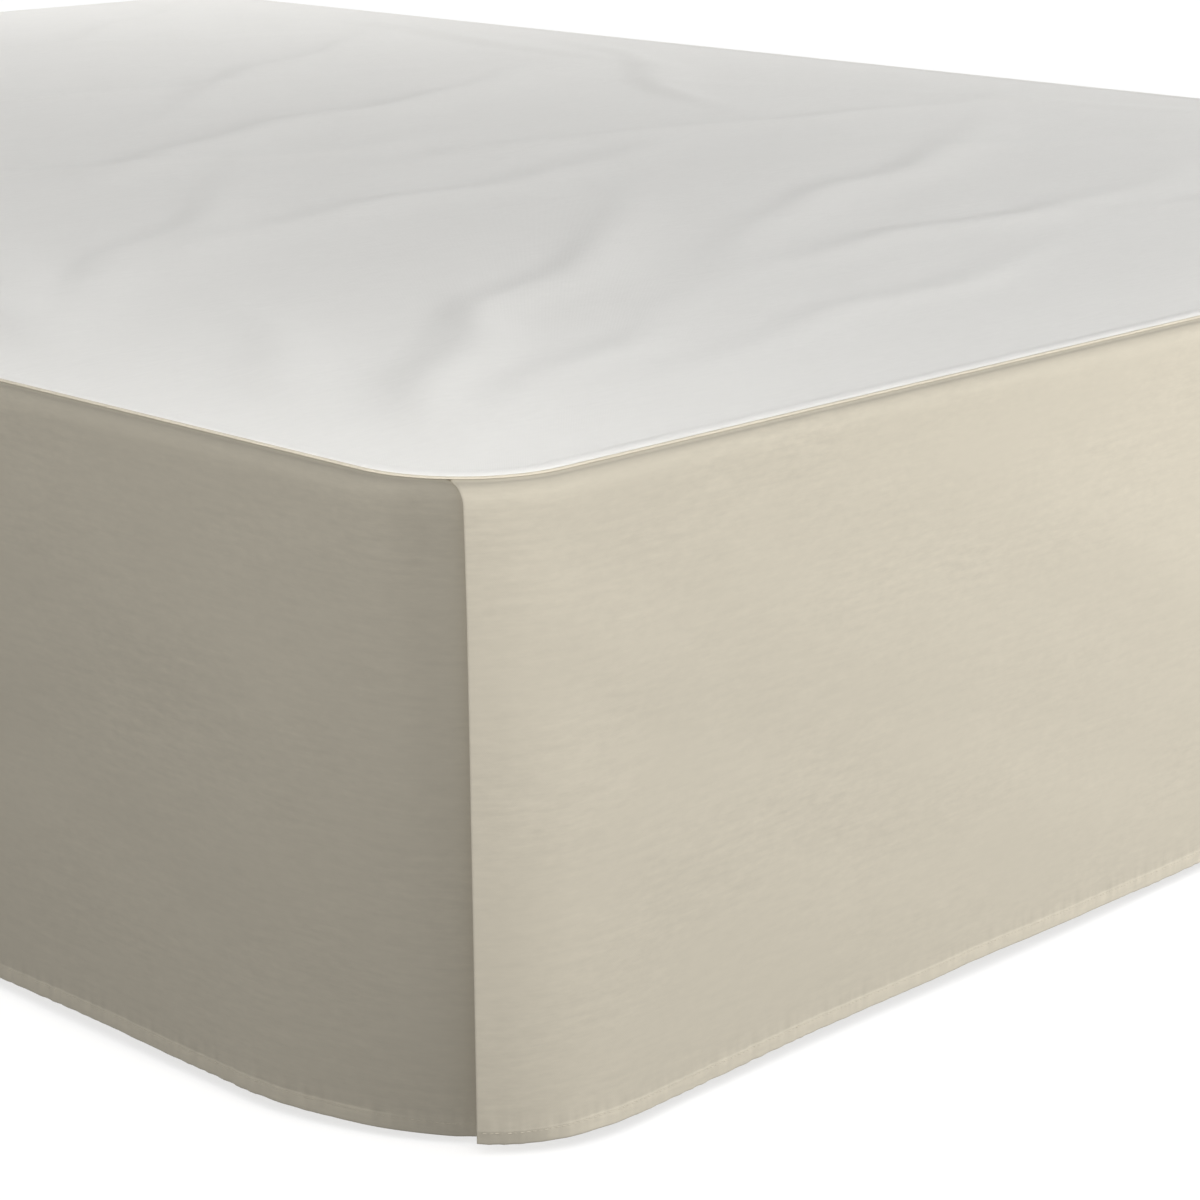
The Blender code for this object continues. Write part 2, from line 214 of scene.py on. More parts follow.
# Where a drop runs behind another one it is sewn this much lower in the seam
SEAM_SHIFT = 0.0012
SEAM_RAMP = 0.003

# The foot drop's free edges slant: (share of the fall, extra length of the drop there)
FREE_END_EXTRA = (
    (0.0, 3.1), (0.06, 2.5), (0.16, 1.8), (0.32, 1.2), (0.48, 0.9), (0.64, 0.5), (1.0, 0),
)

# At the split the hems curl in a little: how far, over what height and what length
CURL = 0.0026
CURL_RISE = 0.070
CURL_REACH = 0.060

# Sewing thread, and the lines that it follows
STITCH_PITCH = 0.0032
STITCH_LENGTH = 0.0026
THREAD = 0.00045
STITCH_WANDER = 0.12
HEM_LINE_STEP = 0.004
HEM_LINE_END = 0.004
DECK_LINE_STEP = 0.01

# What each flat cut adds to its finished size: hems are turned twice, seams once
TURNING = 2 * HEM_DEPTH
SEAM_ALLOWANCE = 0.010

# Camera
CAMERA_PLACE = (-1.7758, -2.0835, 0.7261)
CAMERA_HEADING = radians(43.903)
CAMERA_DROP = radians(15.861)
CAMERA_ROLL = radians(0.164)
CAMERA_LENS = 97.51
SENSOR = 36.0


# -------- small helpers

# Corners of a face from its first one, in steps of (row, column): down the rows first, or across
DOWN_FIRST = ((0, 0), (1, 0), (1, 1), (0, 1))
ACROSS_FIRST = ((0, 0), (0, 1), (1, 1), (1, 0))


def ease(share):
    """A smooth 0 to 1 step."""
    share = min(1.0, max(0.0, share))
    return share * share * (3.0 - 2.0 * share)


def between(rows, distance):
    """Value at a distance in a (distance, value) table, held level past its ends."""
    if distance <= rows[0][0]:
        return rows[0][1]
    for (low, first), (high, second) in zip(rows, rows[1:]):
        if distance <= high:
            return first + (second - first) * (distance - low) / (high - low)
    return rows[-1][1]


def bump_at(distance, width):
    """A soft bell, 1 at no distance."""
    return exp(-((distance / width) ** 2))


def wander(along, wave):
    """A sine wave, bent by slower ones so that it doesn't repeat evenly."""
    rate, bends = wave
    return sin(along * rate + sum(size * sin(along * slow) for size, slow in bends))


def bells(rows, along):
    """Soft bells along a line, together, from rows of (middle, half width, height)."""
    return MM * sum(height * bump_at(along - MM * middle, MM * half) for middle, half, height in rows)


def creases(rows, across, along, reach=3.0, bends=(), lean=0.0):
    """Long soft creases at a place, together, wandering by some bends and leaning to one side.

    Their rows are (middle across, middle along, half length, half width, turn in degrees, height).
    """
    total = 0.0
    for middle_across, middle_along, half_length, half_width, degrees, height in rows:
        run, off = across - MM * middle_across, along - MM * middle_along
        cosine, sine = cos(radians(degrees)), sin(radians(degrees))
        bend = sum(size * sin(rate * run + other * off) for size, rate, other in bends)
        lengthways = (run * cosine + off * sine) / (MM * half_length)
        sideways = (off * cosine - run * sine + bend) / (MM * half_width)
        sideways *= 1.0 + lean * tanh(2.0 * sideways)
        if abs(lengthways) < reach and abs(sideways) < 3.0:
            total += height * exp(-(lengthways**2) - sideways**2)
    return MM * total


def even_steps(low, high, step):
    """Values from low up to high, about step apart, both ends included."""
    count = max(1, round((high - low) / step))
    return [low + (high - low) * index / count for index in range(count + 1)]


def lengths_along(points):
    """The distance along a line of points, at each of them."""
    found = [0.0]
    for here, after in zip(points, points[1:]):
        found.append(found[-1] + (after - here).length)
    return found


def skin(work, grid, place, order=DOWN_FIRST, loop_rows=False, loop_columns=False):
    """Smooth faces over a grid of corners; place gives a (row, column)'s place on the cloth."""
    uv = work.loops.layers.uv.get("cloth") or work.loops.layers.uv.new("cloth")
    rows, columns = len(grid), len(grid[0])
    for row in range(rows if loop_rows else rows - 1):
        for column in range(columns if loop_columns else columns - 1):
            corners = [(row + down, column + across) for down, across in order]
            face = work.faces.new([grid[r % rows][c % columns] for r, c in corners])
            face.smooth = True
            for loop, corner in zip(face.loops, corners):
                loop[uv].uv = place(*corner)


def new_object(name, mesh):
    thing = bpy.data.objects.new(name, mesh)
    bpy.context.scene.collection.objects.link(thing)
    return thing


def object_from(work, name):
    """Turns a finished bmesh into an object."""
    mesh = bpy.data.meshes.new(name)
    work.to_mesh(mesh)
    work.free()
    return new_object(name, mesh)


def mark(piece, name, values):
    """A value at each point of a piece, which its material reads."""
    piece.data.attributes.new(name, "FLOAT", "POINT").data.foreach_set("value", values)


def finish_piece(piece, material=None, node=None):
    """Gives a piece its material, says what it rides on, and hides the CAD part that it stands for."""
    if material:
        piece.data.materials.clear()
        piece.data.materials.append(material)
    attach(piece, "root")
    if node:
        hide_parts(node)
    return piece


def thicken(piece, thickness, shares):
    """Gives a sheet its thickness inwards, of which each point has its own share."""
    group = piece.vertex_groups.new(name="thickness")
    least = THINNEST / 2
    for index, share in enumerate(shares):
        group.add([index], (share - least) / (1.0 - least), "REPLACE")
    shell = piece.modifiers.new("thickness", "SOLIDIFY")
    shell.thickness = thickness
    shell.offset = -1.0
    shell.vertex_group = group.name
    shell.thickness_vertex_group = least


# -------- node helpers


def add_node(tree, kind, inputs=None, **settings):
    """A node with its settings, its sockets set to values or joined to other sockets."""
    node = tree.nodes.new(kind)
    for name, value in settings.items():
        setattr(node, name, value)
    for key, value in (inputs or {}).items():
        if isinstance(value, bpy.types.NodeSocket):
            tree.links.new(value, node.inputs[key])
        else:
            node.inputs[key].default_value = value
    return node


def calc(tree, operation, *values):
    """A Math node's result."""
    return add_node(tree, "ShaderNodeMath", dict(enumerate(values)), operation=operation).outputs[0]


def vector_calc(tree, operation, *values):
    """A Vector Math node's result."""
    inputs = dict(enumerate(values))
    return add_node(tree, "ShaderNodeVectorMath", inputs, operation=operation).outputs[0]


def toned(tree, colour, tone):
    """A colour made lighter or darker by a tone."""
    inputs = {0: colour, "Scale": tone}
    return add_node(tree, "ShaderNodeVectorMath", inputs, operation="SCALE").outputs[0]


def noise(tree, place, across, along, third, detail, roughness):
    """A noise about 0, with so many features a metre each way, moved by third along Z."""
    size = vector_calc(tree, "MULTIPLY", place, (across, along, 1.0))
    moved = vector_calc(tree, "ADD", size, (0.0, 0.0, third))
    inputs = {"Vector": moved, "Scale": 1.0, "Detail": detail, "Roughness": roughness}
    return calc(tree, "SUBTRACT", add_node(tree, "ShaderNodeTexNoise", inputs).outputs["Fac"], 0.5)


def object_noise(tree, scale, detail):
    """A noise on the object's own place, from 0 to 1."""
    place = add_node(tree, "ShaderNodeTexCoord").outputs["Object"]
    inputs = {"Vector": place, "Scale": scale, "Detail": detail}
    return add_node(tree, "ShaderNodeTexNoise", inputs).outputs["Fac"]


def attribute(tree, name):
    return add_node(tree, "ShaderNodeAttribute", attribute_name=name).outputs["Fac"]


def add_sockets(group, inputs, outputs):
    """Adds a group's named sockets: (name, kind, value) in and (name, kind) out."""
    for label, kind, value in inputs:
        socket = group.interface.new_socket(label, in_out="INPUT", socket_type="NodeSocket" + kind)
        if value is not None:
            socket.default_value = value
    for label, kind in outputs:
        group.interface.new_socket(label, in_out="OUTPUT", socket_type="NodeSocket" + kind)
    return group.nodes.new("NodeGroupInput").outputs, group.nodes.new("NodeGroupOutput").inputs


def new_finish(name, work_out, inputs):
    """A shader node group in which a surface's colour, roughness and height are worked out."""
    group = bpy.data.node_groups.new(name, "ShaderNodeTree")
    outputs = (("Colour", "Color"), ("Roughness", "Float"), ("Height", "Float"))
    given, made = add_sockets(group, inputs, outputs)
    for (label, _), value in zip(outputs, work_out(group, given)):
        group.links.new(value, made[label])
    return group


def new_material(name, **constants):
    """A material and its shader, with even values set on the shader's own sockets."""
    material = bpy.data.materials.new(name)
    material.use_nodes = True
    shader = material.node_tree.nodes["Principled BSDF"]
    for label, value in constants.items():
        shader.inputs[label.replace("_", " ")].default_value = value
    return material, material.node_tree, shader


def paint(tree, shader, colour):
    """Joins a colour to a material's shader."""
    tree.links.new(colour, shader.inputs["Base Color"])


def raise_surface(tree, shader, height, distance):
    """A Bump node on a material's shader."""
    raised = add_node(tree, "ShaderNodeBump", {"Height": height, "Distance": distance})
    tree.links.new(raised.outputs["Normal"], shader.inputs["Normal"])
    return raised


def add_finish(tree, shader, group, relief, values):
    """Joins a finish's group to a shader, and returns its outputs and the Bump node."""
    finish = add_node(tree, "ShaderNodeGroup", values, node_tree=group)
    paint(tree, shader, finish.outputs["Colour"])
    tree.links.new(finish.outputs["Roughness"], shader.inputs["Roughness"])
    return finish.outputs, raise_surface(tree, shader, finish.outputs["Height"], relief)


# -------- node groups


def woven_cloth(group, given):
    """Plain weave with slub yarns: long thin streaks along the weft, stronger in some patches."""
    place = given["Place"]
    axes = add_node(group, "ShaderNodeSeparateXYZ", {0: place}).outputs
    turns = calc(group, "DIVIDE", pi, given["Yarn"])
    warp = calc(group, "SINE", calc(group, "MULTIPLY", axes["X"], turns))
    weft = calc(group, "SINE", calc(group, "MULTIPLY", axes["Y"], turns))
    crossing = calc(group, "MULTIPLY", warp, weft)

    long_slub = noise(group, place, 30.0, 260.0, 0.0, 4.0, 0.66)
    short_slub = noise(group, place, 130.0, 330.0, 7.3, 3.0, 0.6)
    patch = noise(group, place, 7.0, 15.0, 3.1, 3.0, 0.6)
    cloud = noise(group, place, 16.0, 26.0, 11.7, 4.0, 0.65)

    strength = calc(group, "MAXIMUM", calc(group, "MULTIPLY_ADD", patch, 2.6, 0.85), 0.15)
    slub = calc(group, "MULTIPLY_ADD", short_slub, 0.8, long_slub)
    slub = calc(group, "MULTIPLY", slub, strength)
    tone = calc(group, "MULTIPLY", slub, given["Slub"])
    tone = calc(group, "MULTIPLY_ADD", cloud, given["Mottle"], tone)
    tone = calc(group, "ADD", tone, 1.0)
    gloss = calc(group, "MULTIPLY_ADD", slub, 0.18, 0.84)
    relief = calc(group, "MULTIPLY_ADD", crossing, 0.20, calc(group, "MULTIPLY", slub, 0.9))
    return toned(group, given["Colour"], tone), gloss, relief


def fine_grain(group, given):
    """The even pebble of a sprayed or moulded surface, with soft uneven gloss."""
    pebble = object_noise(group, given["Grain"], 2.0)
    wiped = calc(group, "SUBTRACT", object_noise(group, 21.0, 5.0), 0.5)
    tone = calc(group, "MULTIPLY_ADD", wiped, 0.5, 1.0)
    gloss = calc(group, "MULTIPLY_ADD", wiped, given["Spread"], given["Roughness"])
    return toned(group, given["Colour"], tone), gloss, pebble


# Their inputs: (name, kind, value)
WEAVE_INPUTS = (
    ("Place", "Vector", None),
    ("Colour", "Color", (0.6, 0.55, 0.45, 1.0)),
    ("Yarn", "Float", 0.00045),
    ("Slub", "Float", 0.10),
    ("Mottle", "Float", 0.06),
)
GRAIN_INPUTS = (
    ("Colour", "Color", (0.03, 0.03, 0.03, 1.0)),
    ("Grain", "Float", 1200.0),
    ("Roughness", "Float", 0.5),
    ("Spread", "Float", 0.12),
)


# -------- materials

BEIGE = (0.665, 0.610, 0.497)
BEIGE_THREAD = (0.685, 0.629, 0.515)
OFF_WHITE = (0.80, 0.79, 0.76)
TICKING = (0.74, 0.73, 0.70)
STEEL = (0.035, 0.033, 0.032)
PLASTIC = (0.022, 0.022, 0.022)
WHITE = (1.0, 1.0, 1.0, 1.0)
# The deck's seam ridge takes the skirt's beige
RIDGE_TINT = (0.78, 0.72, 0.61, 1.0)
# How much lighter the hem's turned layers make the cloth; and for the puckers by its stitches, the strength
# of their painted shade and highlight in the colour and the height of their bump
DOUBLED_TONE = 0.11
PUCKER_PAINTED_SHADE = 0.26
PULLED_HEIGHT = 7.0


def cloth_place(tree):
    """A place on a cloth piece, in metres along its weft and across it."""
    return add_node(tree, "ShaderNodeUVMap", uv_map="cloth").outputs["UV"]


def woven(name, weave, colour, sheen, relief, **values):
    """A woven material: (material, node tree, shader, the weave's outputs, Bump node)."""
    even = {"Sheen_Weight": sheen, "Sheen_Roughness": 0.5, "Specular_IOR_Level": 0.25}
    material, tree, shader = new_material(name, **even)
    values |= {"Place": cloth_place(tree), "Colour": (*colour, 1.0)}
    return material, tree, shader, *add_finish(tree, shader, weave, relief, values)


def skirt_cloth(weave):
    """Beige slub cloth, a little lighter where the hem's turned layers lie behind it. Near the split that
    lightening is taken off as painted shade, and the puckers by the stitches get painted shade and highlight
    beside their bump.
    """
    material, tree, shader, cloth, raised = woven(
        "skirt_cloth_woven", weave, BEIGE, sheen=0.12, relief=0.00008, Yarn=0.00045, Slub=0.17, Mottle=0.04
    )
    pucker = noise(tree, cloth_place(tree), 150.0, 26.0, 5.0, 1.0, 0.5)
    pucker_bump_and_shade = calc(tree, "MULTIPLY", pucker, attribute(tree, "gathered"))
    height = calc(tree, "MULTIPLY_ADD", pucker_bump_and_shade, PULLED_HEIGHT, cloth["Height"])
    tree.links.new(height, raised.inputs["Height"])
    # Lighter where the hem's turned layers lie behind, but not near the split: taking it off there is
    # painted shade
    lighter = calc(tree, "MULTIPLY_ADD", attribute(tree, "doubled_with_split_shade"), DOUBLED_TONE, 1.0)
    # Painted shade and highlight: the puckers' noise darkens and lightens the colour, not only their bump
    lighter = calc(tree, "MULTIPLY_ADD", pucker_bump_and_shade, PUCKER_PAINTED_SHADE, lighter)
    paint(tree, shader, toned(tree, cloth["Colour"], lighter))
    return material


def deck_cloth(weave):
    """Off-white plain cloth of the deck, with the ridge of its seam in the skirt's beige."""
    material, tree, shader, cloth, _ = woven(
        "deck_cloth_woven", weave, OFF_WHITE, sheen=0.10, relief=0.00012, Yarn=0.0006, Slub=0.07, Mottle=0.03
    )
    tints = {"Factor": attribute(tree, "ridge"), "A": WHITE, "B": RIDGE_TINT}
    tint = add_node(tree, "ShaderNodeMix", tints, data_type="RGBA").outputs["Result"]
    paint(tree, shader, vector_calc(tree, "MULTIPLY", cloth["Colour"], tint))
    return material


def base_cover_cloth(weave):
    """Closely woven cover of the box spring."""
    return woven(
        "base_cover_woven", weave, TICKING, sheen=0.10, relief=0.00016, Yarn=0.0007, Slub=0.10, Mottle=0.05
    )[0]


def thread(name, colour):
    """Spun thread: a fine twist in its colour and its relief."""
    material, tree, shader = new_material(name, Sheen_Weight=0.2, Roughness=0.7)
    fibre = object_noise(tree, 3500.0, 1.0)
    paint(tree, shader, toned(tree, colour, calc(tree, "MULTIPLY_ADD", fibre, 0.24, 0.88)))
    raise_surface(tree, shader, fibre, 0.00006)
    return material


def grained(name, grain, colour, size, roughness, relief, metallic=0.0):
    """A sprayed or moulded finish on the frame's parts."""
    material, tree, shader = new_material(name, Metallic=metallic)
    values = {"Colour": (*colour, 1.0), "Grain": size, "Roughness": roughness}
    add_finish(tree, shader, grain, relief, values)
    return material


# -------- the drops


class Drop:
    """One hanging panel, drawn in plan as (along, outwards) from its middle.

    plane is its outer face's distance from the bed's middle. Each of its two free ends says where the
    cloth ends, where its corner arc starts, how its hem turns in and from where that is counted, how
    far it leans back and is longer, and where it runs behind another drop and its hem curls in.
    """

    def __init__(self, name, plane, ends, folds, sags, ripples, place, kick=0.0, tuck=0.0, flipped=False):
        self.name, self.plane, self.ends, self.place = name, plane, ends, place
        self.folds, self.sags, self.ripples = folds, sags, ripples
        self.kick, self.tuck, self.flipped = kick, tuck, flipped

    def end(self, along):
        return self.ends[1 if along >= 0 else -1]

    def length(self):
        return self.ends[-1]["end"] + self.ends[1]["end"]

    def columns(self):
        """Distances along the drop of its columns, from one free end to the other."""
        first, last = (
            even_steps(end - CORNER_REACH, end - SIDE_HEM, CORNER_COLUMN)
            + even_steps(end - SIDE_HEM, end - EDGE_COLUMNS[0], CORNER_COLUMN)[1:]
            + [end - back for back in EDGE_COLUMNS[1:]]
            for end in (self.ends[-1]["end"], self.ends[1]["end"])
        )
        middle = even_steps(-first[0], last[0], STRAIGHT_COLUMN)[1:-1]
        return [-stop for stop in reversed(first)] + middle + last

    def turn(self, along, radius, fall):
        """Turn of the plan line at a distance along, on a level that has fallen this share."""
        end = self.end(along)
        distance = abs(along)
        arc = max(0.0, distance - end["straight"]) / radius
        hem = radians(between(end["turns"], (end["from"] - distance) / MM))
        return arc + (hem - arc) * fall

    def line(self, stops, reach, fall):
        """Plan points (along, outwards) and turns of one level, walked out from the middle."""
        radius = SEAM_RADIUS + reach
        points = {0.0: (0.0, 0.0, 0.0)}
        for way in (-1, 1):
            end = self.ends[way]
            extra = MM * between(end["extra"], fall) * ease(reach / SHOULDER_REACH)
            longer = 1.0 + (extra - end["lean"] * fall) / end["end"]
            run, inwards, before = 0.0, 0.0, 0.0
            for stop in sorted(abs(s) for s in stops if s * way > 0):
                step = (stop - before) * longer
                turn = self.turn(way * (stop + before) / 2, radius, fall)
                run += step * cos(turn)
                inwards += step * sin(turn)
                before = stop
                points[way * stop] = (way * run, -inwards, way * self.turn(way * stop, radius, fall))
        return points

    def behind(self, along, before, length):
        """How far this drop has gone behind another one, from before the split on: 0 to 1."""
        return ease((abs(along) - self.end(along)["split"] + before) / length)

    def curl(self, along, rise):
        """How far the hem has curled in at the split."""
        near = ease((abs(along) - self.end(along)["curl"] + CURL_REACH) / CURL_REACH)
        return CURL * near * max(0.0, 1.0 - rise / CURL_RISE) ** 2

    def opened(self, along):
        """How fully the hem shows its turned band, its kick and its lighter tone: less close to the split,
        where taking off the lighter tone is painted shade.
        """
        return ease((self.end(along)["curl"] - abs(along) - OPEN_START) / OPEN_REACH)

    def sag(self, along):
        """How much lower the hem hangs at a distance along."""
        uneven = wander(along, SAG_WAVE) * sin(along * 31.0 + 0.6)
        return SMALL_SAG * uneven + bells(self.sags, along)

    def ripple(self, along, height):
        """Swing outwards of the slanting ripples at a place on the drop."""
        back = self.end(along)["from"] - abs(along)
        fall = (SHOULDER_HEIGHT - height) / FALL
        at_hem = 1.0 - (1.0 - RIPPLE_AT_HEM) * ease((fall - RIPPLE_LOW) / (1.0 - RIPPLE_LOW))
        share = ease(fall / RIPPLE_START) * at_hem * ease(back / RIPPLE_CLEAR)
        return creases(self.ripples, along, height) * share

    def hem_relief(self, along, rise):
        """Swing outwards at the hem: its turned band, the stitches' groove and their pucker."""
        groove = GROOVE_DEPTH * bump_at(rise - STITCH_RISE, GROOVE_WIDTH)
        patches = 0.55 + 0.45 * wander(along, PUCKER_PATCHES)
        near = exp(-max(0.0, rise - STITCH_RISE) / PUCKER_FADE)
        pucker = PUCKER_DEPTH * wander(along, PUCKER_WAVE) * patches * near
        opened = self.opened(along)
        low = max(0.0, 1.0 - rise / HEM_DEPTH)
        tip = (self.kick * (1.0 - HEM_ROLL * low) * opened - self.tuck * (1.0 - opened)) * low
        shown = BAND_AT_SPLIT + (1.0 - BAND_AT_SPLIT) * opened
        return (BAND_STAND * hem_band(rise) - groove) * shown + tip + pucker

    def edge(self, along, rise):
        """The share of its full thickness that the cloth has, rounded off at its free edges."""
        share = 1.0
        radius = HEM_CLOTH / 2
        for back in (rise, self.end(along)["end"] - abs(along)):
            if back < radius:
                share *= sqrt(max(0.0, 1.0 - (1.0 - back / radius) ** 2))
        return max(THINNEST, share)

    def levels(self):
        """The sheet's rows from the seam down: (height, turn over the shoulder in degrees)."""
        rises = even_steps(HEM_ROWS[-1], FALL, FALL_STEP)[-2::-1] + list(HEM_ROWS[-2::-1])
        over = [(SHOULDER_HEIGHT, degrees) for degrees in SHOULDER_LIFTS]
        return over + [(HEM_LIFT + rise, 90) for rise in rises]

    def row(self, stops, height, degrees=90):
        """One row of points: (place, outward direction, cloth thickness) for each column."""
        lift = radians(degrees)
        out, up = sin(lift), cos(lift)
        reach = SHOULDER_REACH * out**SHOULDER_POWER
        height += SHOULDER_DROP * max(0.0, up) ** SHOULDER_POWER
        dip = DIP_DEPTH * bump_at(reach - DIP_REACH, DIP_WIDTH)
        fall = max(0.0, (SHOULDER_HEIGHT - height) / FALL)
        line = self.line(stops, reach, fall)
        rise = height - HEM_LIFT
        row = []
        for stop in stops:
            run, outwards, turn = line[stop]
            hemmed = rise < HEM_DEPTH or self.end(stop)["end"] - abs(stop) < SIDE_HEM
            full = HEM_CLOTH if hemmed else CLOTH
            share = self.edge(stop, rise)
            rounding = (1.0 - share) * full / 2
            away = bells(self.folds, stop) * fall**FOLD_GROWTH + self.ripple(stop, height)
            away += self.hem_relief(stop, rise) * ease((FALL - rise) / RELIEF_FADE)
            away -= self.curl(stop, rise)
            away -= LAYER_SHIFT * self.behind(stop, LAYER_RAMP, LAYER_RAMP) * (1.0 - fall) * out
            away -= rounding * out
            across = self.plane - SHOULDER_REACH + reach + HEM_FLARE * fall + outwards
            z = height - (SEAM_SHIFT * self.behind(stop, 0.0, SEAM_RAMP) + rounding) * up - dip
            z += GAP * ease(1.0 - (reach - SEAM_TUCK) / SEAM_TUCK) - self.sag(stop) * fall**2
            sine, cosine = sin(turn), cos(turn)
            point = self.place(run + away * sine, across + away * cosine, z)
            facing = self.place(sine, cosine, 0.0)
            row.append((Vector(point), Vector(facing), full * share))
        return row

    def sheet(self, material):
        """The cloth, thickened inwards, marked where the hem's turned layers lighten it, less near the split
        as painted shade, and where its stitches pull.
        """
        stops, levels = self.columns(), self.levels()
        rows = [self.row(stops, *level) for level in levels]
        work = bmesh.new()
        grid = [[work.verts.new(point) for point, _, _ in row] for row in rows]
        down = lengths_along([row[len(stops) // 2][0] for row in rows])
        order = tuple(reversed(DOWN_FIRST)) if self.flipped else DOWN_FIRST
        skin(work, grid, lambda r, c: (stops[c], down[r]), order)
        piece = object_from(work, self.name + "_sheet")
        rises = [level[0] - HEM_LIFT for level in levels]
        # Painted shade: near the split the turned layers' lighter tone is taken off, where the hem curls in
        mark(piece, "doubled_with_split_shade", [hem_band(rise) * self.opened(stop) for rise in rises for stop in stops])
        mark(piece, "gathered", [bump_at(rise - STITCH_RISE, GATHER_WIDTH) for rise in rises for _ in stops])
        thicken(piece, HEM_CLOTH, [thick / HEM_CLOTH for row in rows for _, _, thick in row])
        return finish_piece(piece, material, self.name)

    def stitch_line(self):
        """The path of the hem's stitches: places, and outward directions."""
        first, last = (self.ends[way]["end"] - HEM_LINE_END for way in (-1, 1))
        stops = even_steps(-first, last, HEM_LINE_STEP)
        row = self.row(stops, HEM_LIFT + STITCH_RISE)
        return [point for point, _, _ in row], [facing for _, facing, _ in row]


def hem_band(rise):
    """1 on the hem's turned band, and 0 above it."""
    return 1.0 - ease((rise - HEM_DEPTH + BAND_STEP / 2) / BAND_STEP)


def make_drops():
    plain = {"lean": 0.0, "extra": ((0, 0),), "split": inf, "curl": inf}
    foot = {**plain, "end": FOOT_END, "straight": FOOT_STRAIGHT, "turns": FOOT_HEM_TURNS}
    foot |= {"from": FOOT_END, "lean": FREE_END_LEAN, "extra": FREE_END_EXTRA, "curl": FOOT_END}
    side = {**plain, "end": SIDE_END, "straight": SIDE_STRAIGHT, "turns": SIDE_HEM_TURNS}
    side |= {"from": SIDE_SPLIT, "split": SIDE_SPLIT, "curl": SIDE_SPLIT}
    head = {**plain, "end": HEAD_END, "straight": SIDE_STRAIGHT, "turns": HEAD_HEM_TURNS, "from": HEAD_END}
    foot_looks = (FOOT_FOLDS, FOOT_SAGS, FOOT_RIPPLES, lambda along, out, z: (along, -out, z))
    left_looks = (LEFT_FOLDS, LEFT_SAGS, LEFT_RIPPLES, lambda along, out, z: (-out, -along, z))
    right_looks = (RIGHT_FOLDS, RIGHT_SAGS, RIGHT_RIPPLES, lambda along, out, z: (out, -along, z))
    sides = {-1: head, 1: side}
    return (
        Drop("foot_drop", BED_LENGTH / 2, {-1: foot, 1: foot}, *foot_looks, tuck=HEM_TUCK),
        Drop("side_drop_left", BED_WIDTH / 2, sides, *left_looks, kick=HEM_KICK),
        Drop("side_drop_right", BED_WIDTH / 2, sides, *right_looks, kick=HEM_KICK, flipped=True),
    )


# -------- sewing


def stitch_tree():
    """Geometry Nodes: stitches along a path, each a short rounded thread lying on the cloth."""
    tree = bpy.data.node_groups.new("row_of_stitches", "GeometryNodeTree")
    given, made = add_sockets(
        tree,
        (
            ("Path", "Geometry", None),
            ("Pitch", "Float", STITCH_PITCH),
            ("Length", "Float", STITCH_LENGTH),
            ("Thread", "Float", THREAD),
            ("Wander", "Float", STITCH_WANDER),
            ("Seed", "Int", 3),
            ("Material", "Material", None),
        ),
        (("Stitches", "Geometry"),),
    )
    path = add_node(tree, "GeometryNodeMeshToCurve", {"Mesh": given["Path"]}).outputs["Curve"]
    spacing = {"Curve": path, "Length": given["Pitch"]}
    spaced = add_node(tree, "GeometryNodeResampleCurve", spacing, mode="LENGTH").outputs["Curve"]
    tangent = add_node(tree, "GeometryNodeInputTangent").outputs["Tangent"]
    align = "FunctionNodeAlignRotationToVector"
    along = add_node(tree, align, {"Vector": tangent}, axis="X").outputs["Rotation"]
    named = "GeometryNodeInputNamedAttribute"
    outwards = add_node(tree, named, {"Name": "outwards"}, data_type="FLOAT_VECTOR").outputs["Attribute"]
    aims = {"Rotation": along, "Vector": outwards}
    facing = add_node(tree, align, aims, axis="Z", pivot_axis="X").outputs["Rotation"]

    least = calc(tree, "SUBTRACT", 1.0, given["Wander"])
    most = calc(tree, "ADD", 1.0, given["Wander"])
    limits = {2: least, 3: most, "Seed": given["Seed"]}
    uneven = add_node(tree, "FunctionNodeRandomValue", limits, data_type="FLOAT").outputs[1]
    half_length = calc(tree, "MULTIPLY", calc(tree, "MULTIPLY", given["Length"], 0.5), uneven)
    half_thread = calc(tree, "MULTIPLY", given["Thread"], 0.5)
    sides = {"X": half_length, "Y": half_thread, "Z": half_thread}
    size = add_node(tree, "ShaderNodeCombineXYZ", sides).outputs["Vector"]

    ball = {"Segments": 6, "Rings": 5, "Radius": 1.0}
    bead = add_node(tree, "GeometryNodeMeshUVSphere", ball).outputs["Mesh"]
    places = {"Points": spaced, "Instance": bead, "Rotation": facing, "Scale": size}
    stitches = add_node(tree, "GeometryNodeInstanceOnPoints", places).outputs["Instances"]
    for kind in ("GeometryNodeRealizeInstances", "GeometryNodeSetShadeSmooth"):
        stitches = add_node(tree, kind, {"Geometry": stitches}).outputs["Geometry"]
    dressed = {"Geometry": stitches, "Material": given["Material"]}
    stitches = add_node(tree, "GeometryNodeSetMaterial", dressed).outputs["Geometry"]
    tree.links.new(stitches, made["Stitches"])
    return tree


def set_input(modifier, label, value):
    """Sets a Geometry Nodes modifier's input by its socket's identifier."""
    for item in modifier.node_group.interface.items_tree:
        if item.item_type == "SOCKET" and item.in_out == "INPUT" and item.name == label:
            modifier[item.identifier] = value


